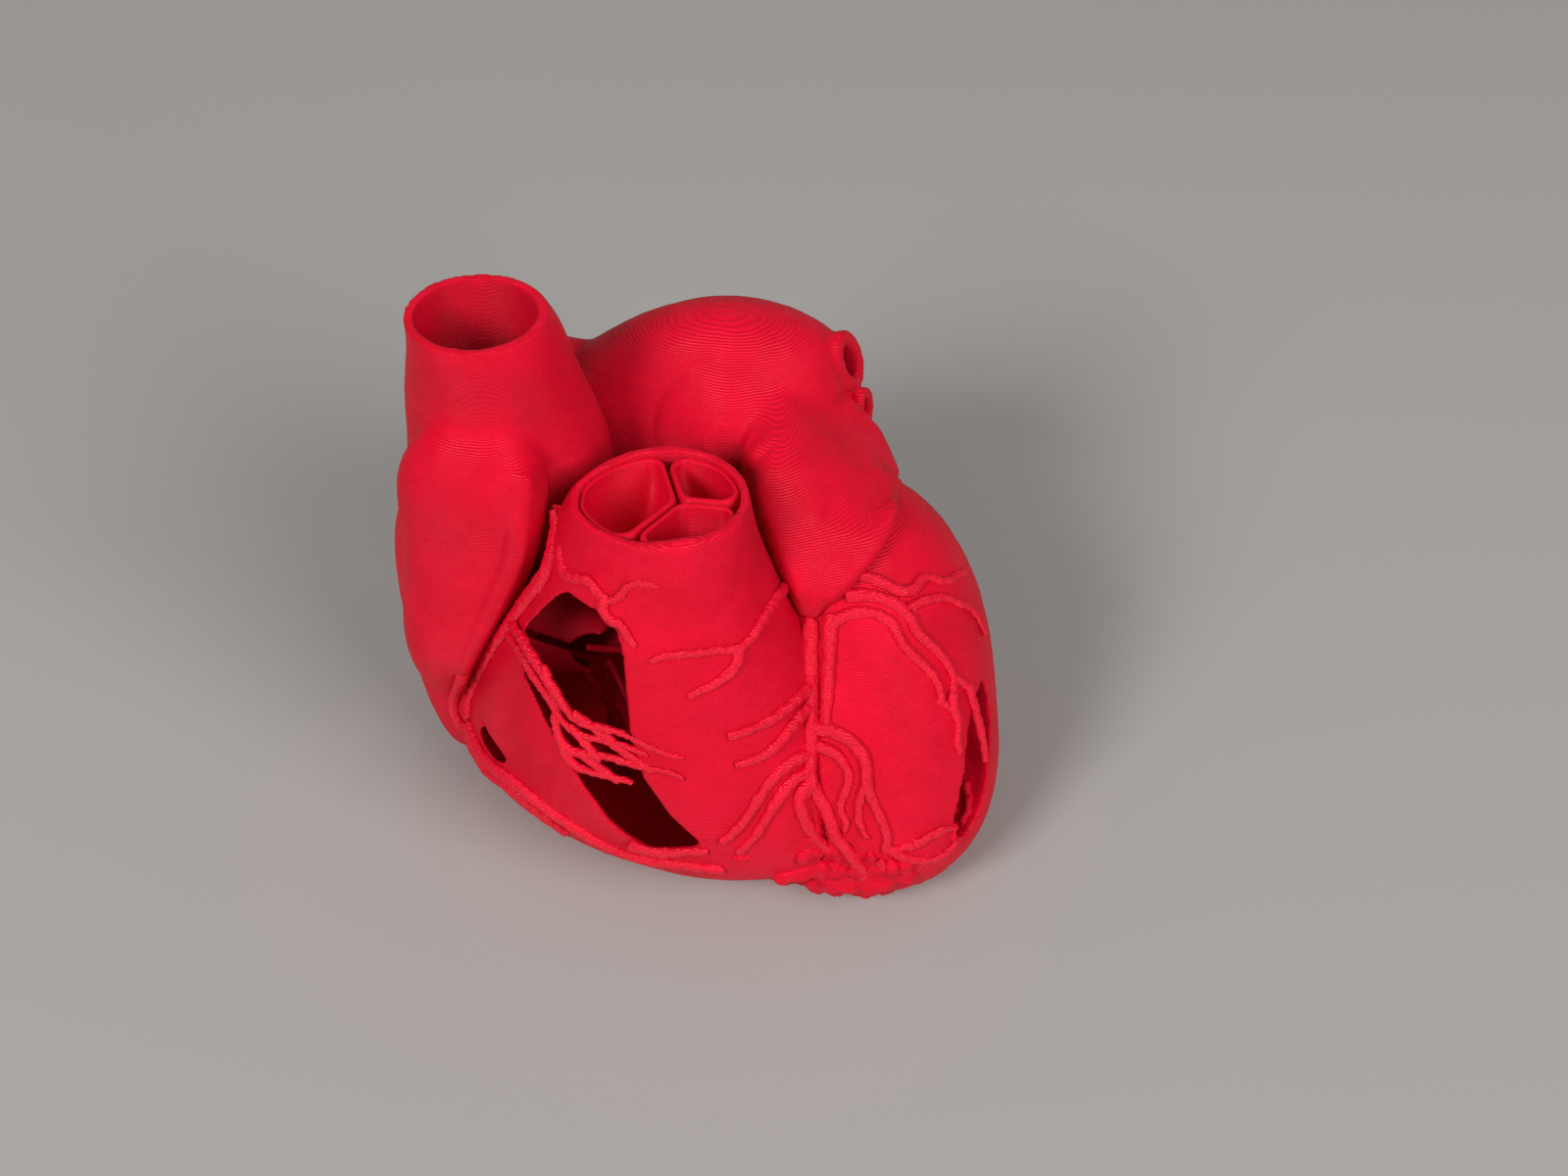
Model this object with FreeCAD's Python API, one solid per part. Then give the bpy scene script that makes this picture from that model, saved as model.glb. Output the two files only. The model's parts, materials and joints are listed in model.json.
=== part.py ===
# Human heart anatomy model, life size, of rigid printed plastic.
# It stands on its diaphragmatic side, with the mouths of the superior vena cava and of the pulmonary
# root level and facing up. X runs to the heart's own left, Y to its back, Z up from the rest face.
# Lengths are in millimetres, angles in degrees. The great arteries end at their valves.

import FreeCAD, Part
import math
import os

V = FreeCAD.Vector

# ------------------------------------------------------------------ driving dimensions
RIGHT_VENTRICLE_WALL = 1.6
LEFT_VENTRICLE_WALL = 7.0
ATRIUM_WALL = 1.8
VEIN_WALL = 1.3
PULMONARY_VEIN_WALL = 1.7

CAVA_BORE_RADIUS = 9.4
CAVA_BORE_LENGTH = 14.0
CAVA_SEAM_HEIGHT = 64.0

PULMONARY_SEAM_HEIGHT = 53.0
PULMONARY_BORE_RADIUS = 11.4
PULMONARY_BORE_DEPTH = 8.0
AORTIC_BORE_RADIUS = 9.8
CUSP_SHEET = 0.9
CUSP_GAP = 0.7
CUSP_DEPTH = 12.0
CUSP_CORNER = 2.6
CUSP_BELOW_RIM = 0.6
VALVE_MEETING_OFFSET = 2.0
PULMONARY_COMMISSURES = [94, 241, 354]
AORTIC_COMMISSURES = [30, 150, 270]

TRICUSPID_RADIUS = 10.5
TRICUSPID_COMMISSURES = [20, 140, 260]
MITRAL_RADIUS = 10.0
MITRAL_COMMISSURES = [0, 180]
RING_WALL = 1.4
RING_LENGTH = 5.0
LEAFLET_SHEET = 1.0
LEAFLET_DEPTH = 11.0
LEAFLET_MOUTH_RADIUS = 5.0
LEAFLET_GAP = 1.4
CHORDA_RADIUS = 0.6

RIGHT_PAPILLARY_RADIUS = 3.2
LEFT_PAPILLARY_RADIUS = 4.2
PAPILLARY_TIP_SHARE = 0.4
MODERATOR_BAND_RADIUS = 1.6

CORONARY_RADIUS = 1.6
SMALL_VEIN_RADIUS = 1.4
ARTERY_RADIUS = 1.15
VEIN_RADIUS = 1.05
BRANCH_RADIUS = 0.95
VESSEL_TIP_SHARE = 0.6
AURICLE_DROP = 9.0
FOLD_RADIUS = 2.3

# Sections of each hollow form: place along its axis, centre across and deep, half widths, turn.
RIGHT_VENTRICLE = [
    (0, -2, -11, 25, 12, -20),
    (3, -2, -13, 31, 19, -22),
    (10, -3, -14.5, 36, 24, -24),
    (22, -5, -16, 32.5, 24.5, -22),
    (36, -6, -17, 25.5, 20, -15),
    (48, -5.5, -16, 19, 17, -8),
    (57, -5, -13.5, 14.8, 14.5, 0),
    (63, -4, -12.5, 12.7, 13, 0),
]
LEFT_VENTRICLE = [
    (0, 22, -16, 13, 15, 14),
    (3, 25.5, -16, 18, 22.5, 14),
    (10, 26, -12.5, 22, 29, 14),
    (20, 25.5, -9, 22.8, 30, 13),
    (30, 25, -5, 22.2, 27.5, 10),
    (40, 24.5, -1, 18.8, 21, 8),
    (47, 23.5, 1.5, 13.8, 14.5, 4),
    (51, 22.5, 3, 7, 7.5, 0),
    (52, 22.5, 3, 2, 2, 0),
]
RIGHT_ATRIUM = [
    (8, -37.8, -3.5, 4.4, 6, 0),
    (13, -36.8, -2.5, 7.7, 10, 0),
    (20, -35.6, 0.5, 11.4, 13, 0),
    (32, -34.3, 3.3, 14.6, 15.3, 0),
    (44, -32.8, 5.3, 16.1, 15.2, 0),
    (54, -30, 7, 16.5, 14.5, 0),
    (64, -30.4, 7.8, 15.2, 13.2, 0),
    (74, -31.5, 6.8, 13.2, 12.2, 0),
    (84, -33, 6, 11, 11, 0),
]
RIGHT_AURICLE = [
    (20, -40.6, -8.5, 1.8, 2, -30),
    (24, -40.4, -9.3, 4, 4, -30),
    (32, -39.9, -10.3, 7, 6, -30),
    (44, -36.6, -9, 10.2, 6.8, -25),
    (55, -34.6, -7, 12.1, 7.2, -18),
    (63.5, -33.8, -5.8, 11.6, 7, -12),
    (67.5, -33.8, -4.8, 8.8, 5, -10),
    (69, -34, -4, 4, 2.2, -10),
]
AORTIC_ROOT = [
    (31, 5, 4, 7, 7, 0),
    (36, 4, 5.5, 10.5, 10.5, 0),
    (43, 3, 6.5, 12, 12, 0),
    (51, 2.5, 6.5, 11.3, 11.3, 0),
]
# The left atrium lies across: its sections run along X, with centre Y and Z.
LEFT_ATRIUM = [
    (-24, 27, 50, 4, 5, 0),
    (-20, 27.5, 50.5, 8.5, 10, 0),
    (-10, 28.5, 51.5, 13.5, 14.5, 0),
    (3, 29.5, 52, 16, 16.5, 0),
    (13, 28.5, 52, 16, 15.5, 0),
    (20, 28, 52.5, 12.5, 12.5, 0),
    (24, 28, 54, 5.5, 7, 0),
]

# The left auricle is a faceted leaf: its rim, its crown and the middle of the crown.
AURICLE_RIM = [
    (7, 10.5, 57), (8, 16.5, 61), (12, 21.5, 64.5), (23.5, 25, 58), (30, 21, 52), (33.5, 13.5, 48),
    (31.5, 3, 48.5), (28, -7, 47), (23.5, -14, 46.5), (19.5, -18.5, 47), (16, -17.5, 49),
    (12.5, -12, 52.5), (9.2, -3, 58), (8, 5, 58.5),
]
AURICLE_CROWN = [(14, 12, 61.8), (25, 5, 55.5), (20.5, -12, 51.5), (12.3, -1, 59.5)]
AURICLE_MIDDLE = (18, 1, 58.5)
# The crown's corner that each point of the rim is joined to.
AURICLE_JOIN = [0, 0, 0, 0, 1, 1, 1, 1, 2, 2, 2, 3, 3, 0]

LOWER_CAVA_MOUTH = (-31, 10, 3.5)
LOWER_CAVA_ROOT = (-31, 7, 24)
LOWER_CAVA_RADIUS = 8.5
# Each pulmonary vein: the middle of its mouth, its root in the atrium, its radius.
PULMONARY_VEINS = {
    "left_superior_pulmonary_vein": ((25, 28, 60), (14, 31, 55), 4.8),
    "left_inferior_pulmonary_vein": ((28, 26, 51.5), (14, 30, 49), 3.55),
    "right_superior_pulmonary_vein": ((-31, 34, 57), (-12, 31, 54), 5.0),
    "right_inferior_pulmonary_vein": ((-30, 34, 45), (-12, 31, 48), 4.4),
}

# Where each inlet valve is aimed: from the middle of its atrium to the middle of its ventricle.
TRICUSPID_AIM = ((-33, 3, 34), (-6, -17, 30))
MITRAL_AIM = ((13, 30, 52), (25, -7, 28))
OUTFLOW_AIM = ((2, 7, 44), (23, -3, 30))
OUTFLOW_RADIUS = 7.5
RIGHT_PAPILLARIES = {
    "anterior_papillary_muscle": ((6, -32, 6), (-8, -19, 19)),
    "posterior_papillary_muscle": ((-14, -8, 0), (-14, -9, 15)),
    "septal_papillary_muscle": ((10, -10, 28), (-4, -10, 29)),
}
RIGHT_STRINGS = [("anterior_papillary_muscle", (200, 250)), ("posterior_papillary_muscle", (260, 320)),
                 ("septal_papillary_muscle", (30, 120))]
LEFT_PAPILLARIES = {
    "anterolateral_papillary_muscle": ((42, -24, 18), (30, -10, 27)),
    "posteromedial_papillary_muscle": ((18, -26, 8), (22, -11, 23)),
}
LEFT_STRINGS = [("anterolateral_papillary_muscle", (150, 210, 270)),
                ("posteromedial_papillary_muscle", (330, 30, 90))]
MODERATOR_BAND = ((16, -24, 18), (3, -30, 8))

# Views that outlines and routes are drawn in: azimuth and tilt of the line of sight.
FRONT_VIEW = (0, 40)
SIDE_VIEW = (55, 15)
BACK_VIEW = (180, 15)
REACH = 160.0
# The way that the seam of a tube faces where the tube starts.
TUBE_SEAM = (0.35, -0.75, 0.55)
# How many points each oval and each ring of a tube is drawn through.
OVAL_POINTS = 12
RING_POINTS = 8

# Windows in the walls, drawn in the front or side view, and how far the cut goes along the view.
RIGHT_WINDOW = [
    (-20.5, 25), (-17.5, 26.2), (-14.8, 25.6), (-13.4, 22.5), (-11.4, 20.2), (-10.3, 17), (-9.8, 11),
    (-9.3, 4.5), (-7.5, -2.5), (-3.5, -8.5), (1.5, -13.5), (-7, -14), (-10.5, -11.8), (-13, -9.5),
    (-16.5, -4.5), (-19.5, 1), (-22.5, 6), (-25.6, 12.5), (-27, 17), (-25.6, 20.5), (-22.8, 23.2),
]
RIGHT_WINDOW_DEPTH = -24.0
MARGIN_SLIT = [(-34.8, 6.5), (-32.8, 3), (-31, 1), (-29.2, -1.4), (-31.8, -1.2), (-34.2, 1.8)]
MARGIN_SLIT_DEPTH = -12.0
LEFT_WINDOW = [
    (12, 16.8), (8.5, 16), (6.3, 15), (3.6, 13), (1, 10.2), (-1.9, 6.6), (-5.4, 2.1), (-6.4, -1),
    (-3.5, -2.5), (1, -1), (5, 3), (9, 8.5), (11.5, 13),
]
LEFT_WINDOW_DEPTH = -31.0

# Vessels: name, radius, and the route over the surface as (across, up) in the front view.
# A place with three numbers is free of the surface.
FRONT_VESSELS = [
    ("right_coronary_artery", CORONARY_RADIUS, [
        (-21.2, -10.5, 59.5), (-20.9, -13.5, 54.7), (-22.1, 28.8), (-24.7, 25.5), (-27.8, 21.7),
        (-30.2, 18.7), (-33.4, 14.5), (-35.7, 10.8), (-37.1, 7.6), (-37, 5.2)]),
    ("small_cardiac_vein", SMALL_VEIN_RADIUS, [
        (-34.2, 18.4), (-35.8, 15.6), (-38.2, 11.2), (-39.8, 7.8), (-39.4, 5), (-38, 3.6)]),
    ("conus_artery", BRANCH_RADIUS, [
        (-19.4, 32.5), (-19.4, 29.4), (-18, 27.9), (-15.5, 27.6), (-12.8, 24.8), (-11.2, 24.6),
        (-9.5, 26.4), (-7.2, 27), (-2, 25.5)]),
    ("conus_artery", BRANCH_RADIUS, [(-12.9, 24.4), (-12.8, 22.7), (-11.9, 21.6), (-10.4, 20.8), (-9, 18.7), (-8, 17.5)]),
    ("acute_margin_artery", ARTERY_RADIUS, [
        (-36.8, 4), (-34.5, 0), (-32.3, -2), (-29.3, -3.6), (-25, -6.7), (-19.5, -10.6), (-14.5, -13.6),
        (-10.3, -15.4), (-3.5, -16.6), (4.5, -17.5)]),
    ("acute_margin_vein", VEIN_RADIUS, [
        (-37.4, 2.2), (-35.6, -0.9), (-33.4, -3.2), (-29.7, -5.4), (-25.6, -8.6), (-20.2, -12.4)]),
    ("acute_margin_artery", BRANCH_RADIUS, [(-10, -13.2), (-7, -14.4), (-3, -14.5), (2, -14.4)]),
    ("anterior_descending_artery", ARTERY_RADIUS, [
        (18.5, 24), (18, 17), (18, 12.5), (18, 6), (18, 0.5), (18, -3), (19, -5.5), (20.5, -8),
        (21.8, -11.5), (25, -16), (26.5, -19)]),
    ("anterior_descending_artery", BRANCH_RADIUS, [(17.8, -4.4), (16.3, -6.2), (16.8, -8.6), (18.2, -11.4), (20.8, -14.6)]),
    ("great_cardiac_vein", VEIN_RADIUS, [
        (21.2, 22), (21, 17.5), (20.9, 14), (20.7, 10), (20.4, 5)]),
    ("left_conus_artery", BRANCH_RADIUS, [
        (14.4, 26), (12.5, 24.5), (11, 22), (9.5, 19.5), (7.5, 17.5), (4.5, 17), (-0.5, 16.5),
        (-3.5, 16.2), (-6, 15.3)]),
    ("left_conus_artery", BRANCH_RADIUS, [
        (7.2, 17), (6.8, 15.2), (4.8, 12.8), (2, 11.3), (-0.5, 10)]),
    ("right_ventricular_arteries", BRANCH_RADIUS, [
        (18, 11.4), (16.2, 9.6), (13, 7), (10, 5.4), (5.5, 3.9)]),
    ("right_ventricular_veins", BRANCH_RADIUS, [
        (18, 7.9), (15.8, 6), (13.3, 2.9), (11, 1), (6.5, -0.5)]),
    ("right_ventricular_arteries", BRANCH_RADIUS, [
        (18, 0.8), (15.2, -0.4), (12.2, -2.8), (10, -6), (7.6, -9.6), (4.3, -12.6)]),
    ("right_ventricular_veins", BRANCH_RADIUS, [
        (18, -2), (15.2, -3.4), (13.1, -5.8), (11.4, -8.8), (9.4, -11.8), (6.9, -14.5)]),
    ("diagonal_artery", ARTERY_RADIUS, [
        (18.2, 4.8), (22.6, 3.8), (25.2, 1.9), (26.6, -0.8), (26.8, -3.6), (27.9, -7), (29.4, -10.2),
        (29.7, -14.4)]),
    ("diagonal_vein", VEIN_RADIUS, [
        (18.2, 1.7), (21.6, 1), (23.4, -0.9), (24, -3.4), (23.2, -5.7), (22.8, -8), (23.6, -9.8),
        (23.2, -11.4)]),
    ("diagonal_vein", BRANCH_RADIUS, [(26.8, -4.2), (25.5, -7.4), (26, -10.6), (27.1, -12.6)]),
    ("apical_vessels", BRANCH_RADIUS, [
        (29.6, -13.8), (31.6, -15), (34, -16), (36.5, -16.3), (39, -15.5), (41, -13.2)]),
    ("apical_vessels", BRANCH_RADIUS, [(34.2, -13.8), (36.5, -12.4), (39, -11.4), (40.8, -11.4)]),
    ("apical_vessels", BRANCH_RADIUS, [(28.6, -16), (29.8, -17.6), (31.2, -19)]),
    ("circumflex_artery", ARTERY_RADIUS, [
        (23, 28.5), (28, 27.6), (31, 26.3), (33, 25.6), (35, 27), (36.2, 28), (38.5, 27.4), (41, 28),
        (43, 28.8)]),
    ("obtuse_marginal_artery", ARTERY_RADIUS, [
        (23.6, 25), (27, 25.1), (30, 24.4), (32.2, 23.2), (33.7, 21.4), (34.8, 19.4), (36.6, 17.6),
        (38.4, 15.9), (39.8, 13.8), (40.6, 12)]),
    ("obtuse_marginal_vein", VEIN_RADIUS, [
        (21.4, 20.6), (24.2, 22.3), (29, 22), (30.9, 20.6), (31.8, 18.8), (33.4, 16.5), (35.3, 14.6),
        (37, 12.8), (38.2, 10.8), (38.3, 8.6)]),
    ("lateral_vein", BRANCH_RADIUS, [
        (32.6, 22.6), (35.4, 24.1), (38.2, 24.8), (40, 24.6), (41.6, 23.8), (43.4, 23.2),
        (45, 21), (46, 19)]),
    ("obtuse_marginal_artery", BRANCH_RADIUS, [(40.4, 9.8), (40.3, 8), (41.1, 5.5), (41, 3), (41.5, 0.5)]),
]
# The crest of the fold that edges the right auricle, in the front view.
FOLD_ROUTE = [
    (-25.1, 43.7), (-25.5, 41), (-26.4, 36.5), (-27.9, 30.4), (-30.4, 25.4), (-32.9, 20.7), (-35.6, 15.9),
    (-37.2, 13)]
# Vessels that cross the windows of the walls.
BRIDGING_VESSELS = [
    ("right_marginal_artery", VEIN_RADIUS, [
        (-28.4, 21.6), (-24.9, 17.6), (-22.6, 14.2), (-20.3, 11), (-18.2, 7.8), (-16, 6.1), (-13, 5.4),
        (-9.5, 4.4), (-6.5, 3), (-0.5, 0.9)]),
    ("right_marginal_vein", BRANCH_RADIUS, [
        (-29, 19.2), (-26.2, 15.7), (-24.1, 12.5), (-21.9, 9.3), (-19.7, 6), (-17.2, 4), (-13.5, 3.3),
        (-10, 2.3), (-6.5, 0.9)]),
    ("lower_marginal_vessels", BRANCH_RADIUS, [
        (-20.4, 6.8), (-20.6, 3.6), (-18.8, 1.2), (-16.4, 0.6), (-13, 0.3), (-9, -0.9), (-5, -1.6),
        (-1, -3.2)]),
    ("lower_marginal_vessels", BRANCH_RADIUS, [
        (-19.8, 2.2), (-18.2, -1), (-15.8, -2.1), (-12.6, -2.8), (-9, -3.9)]),
    ("window_crossing_vein", BRANCH_RADIUS, [
        (42.6, 11.2), (43.2, 9.6), (43.9, 7.4), (44.6, 5.2), (45.2, 2.8), (45.7, 0.6), (45.8, -1.2)]),
]
# Vessels of the back, as (across, up) in the back view.
BACK_VESSELS = [
    ("coronary_sinus", 2.6, [(-34, 30), (-28, 28), (-18, 26), (-8, 25), (2, 24.5), (12, 25), (21, 27)]),
    ("posterior_descending_artery", ARTERY_RADIUS, [(-6, 20.6), (-6.5, 16), (-7, 11), (-7.5, 5)]),
    ("middle_cardiac_vein", VEIN_RADIUS, [(-9.5, 20.6), (-9.8, 16), (-10.2, 11), (-10.5, 5)]),
]


# ------------------------------------------------------------------ forms
def upright(section):
    """Places a section of a form whose axis is Z."""
    along, x, y, half_x, half_y, turn = section
    return V(x, y, along), V(1, 0, 0), V(0, 1, 0), half_x, half_y, turn


def lying(section):
    """Places a section of a form whose axis is X."""
    along, y, z, half_y, half_z, turn = section
    return V(along, y, z), V(0, 1, 0), V(0, 0, 1), half_y, half_z, turn


def oval(centre, across, deep, half_across, half_deep, turn, count=OVAL_POINTS):
    """A closed smooth curve through the rim of an ellipse."""
    angle = math.radians(turn)
    first = across * math.cos(angle) + deep * math.sin(angle)
    second = deep * math.cos(angle) - across * math.sin(angle)
    shares = [step / count for step in range(count + 1)]
    turns = [2 * math.pi * share for share in shares[:-1]]
    points = [centre + first * (half_across * math.cos(a)) + second * (half_deep * math.sin(a)) for a in turns]
    curve = Part.BSplineCurve()
    curve.interpolate(Points=points, PeriodicFlag=True, Parameters=shares)
    return Part.Wire(curve.toShape())


def form(sections, place=upright):
    """The closed solid that runs smoothly through all sections."""
    return Part.makeLoft([oval(*place(s)) for s in sections], True, False)


def lumen(sections, wall, place=upright, open_end=False):
    """The space inside a form; an open end runs out past its last section."""
    first = sections[0][0]
    last = sections[-1][0]
    start = first + wall
    end = last + wall if open_end else last - wall
    inner = []
    for along, x, y, half_x, half_y, turn in sections:
        moved = start + (along - first) * (end - start) / (last - first)
        inner.append((moved, x, y, max(half_x - wall, half_x / 3), max(half_y - wall, half_y / 3), turn))
    return form(inner, place)


def slab(low, high):
    """Everything between two heights."""
    return Part.makeBox(2 * REACH, 2 * REACH, high - low, V(-REACH, -REACH, low))


def carve(shape, tools):
    """Cuts the tools out of a shape, one after the other."""
    for tool in tools:
        shape = shape.cut(tool)
    return shape


def largest(shape):
    """The main solid of a cut shape, without its crumbs."""
    return max(shape.Solids, key=lambda solid: solid.Volume)


# ------------------------------------------------------------------ views
def first_hit(start, way, shapes):
    """Where a line from a point first meets the curved skins of the shapes."""
    sight = Part.Line(start, start + way)
    hits = []
    for shape in shapes:
        for face in shape.Faces:
            if isinstance(face.Surface, Part.BSplineSurface):
                points, _ = sight.intersectCS(face.Surface)
                hits += [V(p.X, p.Y, p.Z) for p in points]
    ahead = [p for p in hits if (p - start).dot(way) > 0]
    return min(ahead, key=lambda p: (p - start).dot(way))


class View:
    """A direction to look at the model from, with places on it given across and up."""

    def __init__(self, azimuth, tilt):
        turn = math.radians(azimuth)
        lean = math.radians(tilt)
        self.across = V(math.cos(turn), math.sin(turn), 0)
        self.look = V(-math.sin(turn) * math.cos(lean), math.cos(turn) * math.cos(lean), -math.sin(lean))
        self.up = self.across.cross(self.look)

    def at(self, across, up, ahead=0.0):
        return self.across * across + self.up * up + self.look * ahead

    def prism(self, outline, near, far):
        """A straight-sided tool through an outline, along the line of sight."""
        points = [self.at(a, u, near) for a, u in outline]
        face = Part.Face(Part.makePolygon(points + [points[0]]))
        return face.extrude(self.look * (far - near))

    def drop(self, across, up, shapes):
        """The first point of the shapes on the line of sight."""
        return first_hit(self.at(across, up, -REACH), self.look, shapes)


FRONT = View(*FRONT_VIEW)
SIDE = View(*SIDE_VIEW)
BACK = View(*BACK_VIEW)


# ------------------------------------------------------------------ tubes
def tube(points, start_radius, end_radius):
    """A round tapering tube along a smooth line through the points."""
    line = Part.BSplineCurve()
    line.interpolate(points)
    first = line.FirstParameter
    span = line.LastParameter - first
    count = 2 * len(points) - 1
    rings = []
    across = V(*TUBE_SEAM)
    for step in range(count):
        share = step / (count - 1)
        at = first + span * share
        along = line.tangent(at)[0]
        across = (across - along * across.dot(along)).normalize()
        radius = start_radius + (end_radius - start_radius) * share
        rings.append(oval(line.value(at), across, along.cross(across), radius, radius, 0, RING_POINTS))
    return Part.makeLoft(rings, True, False)


def rod(start, end, radius, end_radius=None):
    """A straight round bar, or a cone where its end has a radius of its own."""
    axis = end - start
    if end_radius is None:
        return Part.makeCylinder(radius, axis.Length, start, axis)
    return Part.makeCone(radius, end_radius, axis.Length, start, axis)


def vessel(view, route, radius, shapes):
    """A vessel that lies on the shapes, half sunk, along a route drawn in a view."""
    points = [V(*place) if len(place) == 3 else view.drop(*place, shapes) for place in route]
    return tube(points, radius, radius * VESSEL_TIP_SHARE)


# ------------------------------------------------------------------ chambers
def chamber_walls():
    """The walls of the ventricles and the septum between them, with the windows cut."""
    right_shell = carve(right_form, [right_lumen, left_form, aortic_form, slab(PULMONARY_SEAM_HEIGHT, REACH)])
    left_shell = carve(left_form, [left_lumen, mitral.hole(), outflow, aortic_form])
    windows = [FRONT.prism(RIGHT_WINDOW, -REACH, RIGHT_WINDOW_DEPTH),
               FRONT.prism(MARGIN_SLIT, -REACH, MARGIN_SLIT_DEPTH),
               tricuspid.hole()]
    left_window = SIDE.prism(LEFT_WINDOW, -REACH, LEFT_WINDOW_DEPTH)
    return {
        "right_ventricle_wall": largest(carve(right_shell, windows)),
        "left_ventricle_wall": largest(carve(left_shell, [right_form, left_window])),
        "ventricular_septum": largest(left_shell.common(right_form)),
    }


def right_atrium_pieces():
    """The right atrium with both caval veins."""
    bore = Part.makeCylinder(CAVA_BORE_RADIUS, 2 * CAVA_BORE_LENGTH,
                             V(cava_x, cava_y, cava_rim - CAVA_BORE_LENGTH))
    space = lumen(RIGHT_ATRIUM, ATRIUM_WALL, open_end=True).common(slab(0, cava_rim - CAVA_BORE_LENGTH))
    shell = carve(atrium_form, [space, bore, right_form, left_form, aortic_form])
    lower_vein = rod(V(*LOWER_CAVA_MOUTH), V(*LOWER_CAVA_ROOT), LOWER_CAVA_RADIUS)
    lower_bore = rod(V(*LOWER_CAVA_MOUTH), V(*LOWER_CAVA_ROOT), LOWER_CAVA_RADIUS - VEIN_WALL)
    return {
        "superior_vena_cava": largest(shell.common(slab(CAVA_SEAM_HEIGHT, REACH))),
        "right_atrium": largest(carve(shell, [slab(CAVA_SEAM_HEIGHT, REACH), lower_bore, tricuspid.hole()])),
        "inferior_vena_cava": largest(carve(lower_vein, [lower_bore, atrium_form, right_form, left_form])),
    }


def left_atrium_pieces():
    """The left atrium and the four veins that enter it."""
    inner = lumen(LEFT_ATRIUM, ATRIUM_WALL, lying)
    shell = carve(left_atrium_form, [atrium_form, right_form, left_form, inner, mitral.hole(), aortic_form])
    pieces = {}
    for name, (mouth, root, radius) in PULMONARY_VEINS.items():
        vein = rod(V(*mouth), V(*root), radius)
        bore = rod(V(*mouth), V(*root), radius - PULMONARY_VEIN_WALL)
        pieces[name] = largest(carve(vein, [bore, left_atrium_form, atrium_form]))
        shell = shell.cut(bore)
    pieces["left_atrium"] = largest(shell)
    return pieces


def roots():
    """The stumps that carry the pulmonary and the aortic valve."""
    top = V(pulmonary_x, pulmonary_y, pulmonary_rim - PULMONARY_BORE_DEPTH)
    pulmonary_bore = Part.makeCylinder(PULMONARY_BORE_RADIUS, 2 * PULMONARY_BORE_DEPTH, top)
    inside = right_lumen.cut(slab(pulmonary_rim - PULMONARY_BORE_DEPTH, REACH))
    band = right_form.common(slab(PULMONARY_SEAM_HEIGHT, REACH))
    pulmonary = carve(band, [inside, pulmonary_bore])
    aortic_bore = Part.makeCylinder(AORTIC_BORE_RADIUS, 2 * CUSP_DEPTH,
                                    V(aortic_x, aortic_y, aortic_rim - CUSP_DEPTH))
    aortic = carve(aortic_form, [lumen(AORTIC_ROOT, ATRIUM_WALL), aortic_bore, outflow])
    return {"pulmonary_root": largest(pulmonary), "aortic_root": largest(aortic)}


# ------------------------------------------------------------------ valves
def pocket_level(valve, start, end, depth, inset, corner):
    """One level of a pocket: its share of the bore, drawn in and rounded at the corners."""
    centre = V(valve.x, valve.y, valve.rim - depth)
    ends = []
    for angle in (start, (start + end) / 2, end):
        way = V(math.cos(math.radians(angle)), math.sin(math.radians(angle)), 0)
        ends.append(centre + way * (valve.bore_radius + CUSP_GAP / 2))
    meeting = centre + V(valve.meeting_offset, 0, 0)
    sides = [Part.LineSegment(meeting, ends[0]), Part.Arc(*ends), Part.LineSegment(ends[2], meeting)]
    sector = Part.Wire([side.toShape() for side in sides])
    drawn_in = sector.makeOffset2D(-inset - corner, 0, False, False, True)
    rounded = drawn_in.makeOffset2D(corner, 0, False, False, True)
    return Part.Wire(Part.__sortEdges__(rounded.Edges))


def cusp(valve, start, end):
    """One pocket of a closed valve: a thin cup that hangs from the wall of the bore."""
    # Each level: share of the depth, how far it is drawn in past the gap, share of the corner.
    levels = [(0, 0, 1), (0.45, 0, 1), (0.8, 0.12, 0.6), (1, 0.24, 0.3)]
    outer = []
    inner = []
    for share, drawn, rounding in levels:
        depth = CUSP_BELOW_RIM + share * CUSP_DEPTH
        inset = CUSP_GAP / 2 + drawn * valve.bore_radius
        corner = CUSP_CORNER * rounding
        floor = CUSP_SHEET if share == 1 else 0
        lift = CUSP_SHEET if share == 0 else 0
        outer.append(pocket_level(valve, start, end, depth, inset, corner))
        inner.append(pocket_level(valve, start, end, depth - floor - lift, inset + CUSP_SHEET, corner * 0.7))
    bore = Part.makeCylinder(valve.bore_radius, 2 * CUSP_DEPTH, V(valve.x, valve.y, valve.rim - 2 * CUSP_DEPTH))
    return Part.makeLoft(outer, True, False).common(bore).cut(Part.makeLoft(inner, True, False))


class Valve:
    """A valve at the mouth of a great artery."""

    def __init__(self, x, y, rim, bore_radius, meeting_offset, commissures):
        self.x = x
        self.y = y
        self.rim = rim
        self.bore_radius = bore_radius
        self.meeting_offset = meeting_offset
        self.commissures = commissures

    def cusps(self, names):
        turns = self.commissures + [self.commissures[0] + 360]
        return {name: cusp(self, turns[i], turns[i + 1]) for i, name in enumerate(names)}


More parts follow.
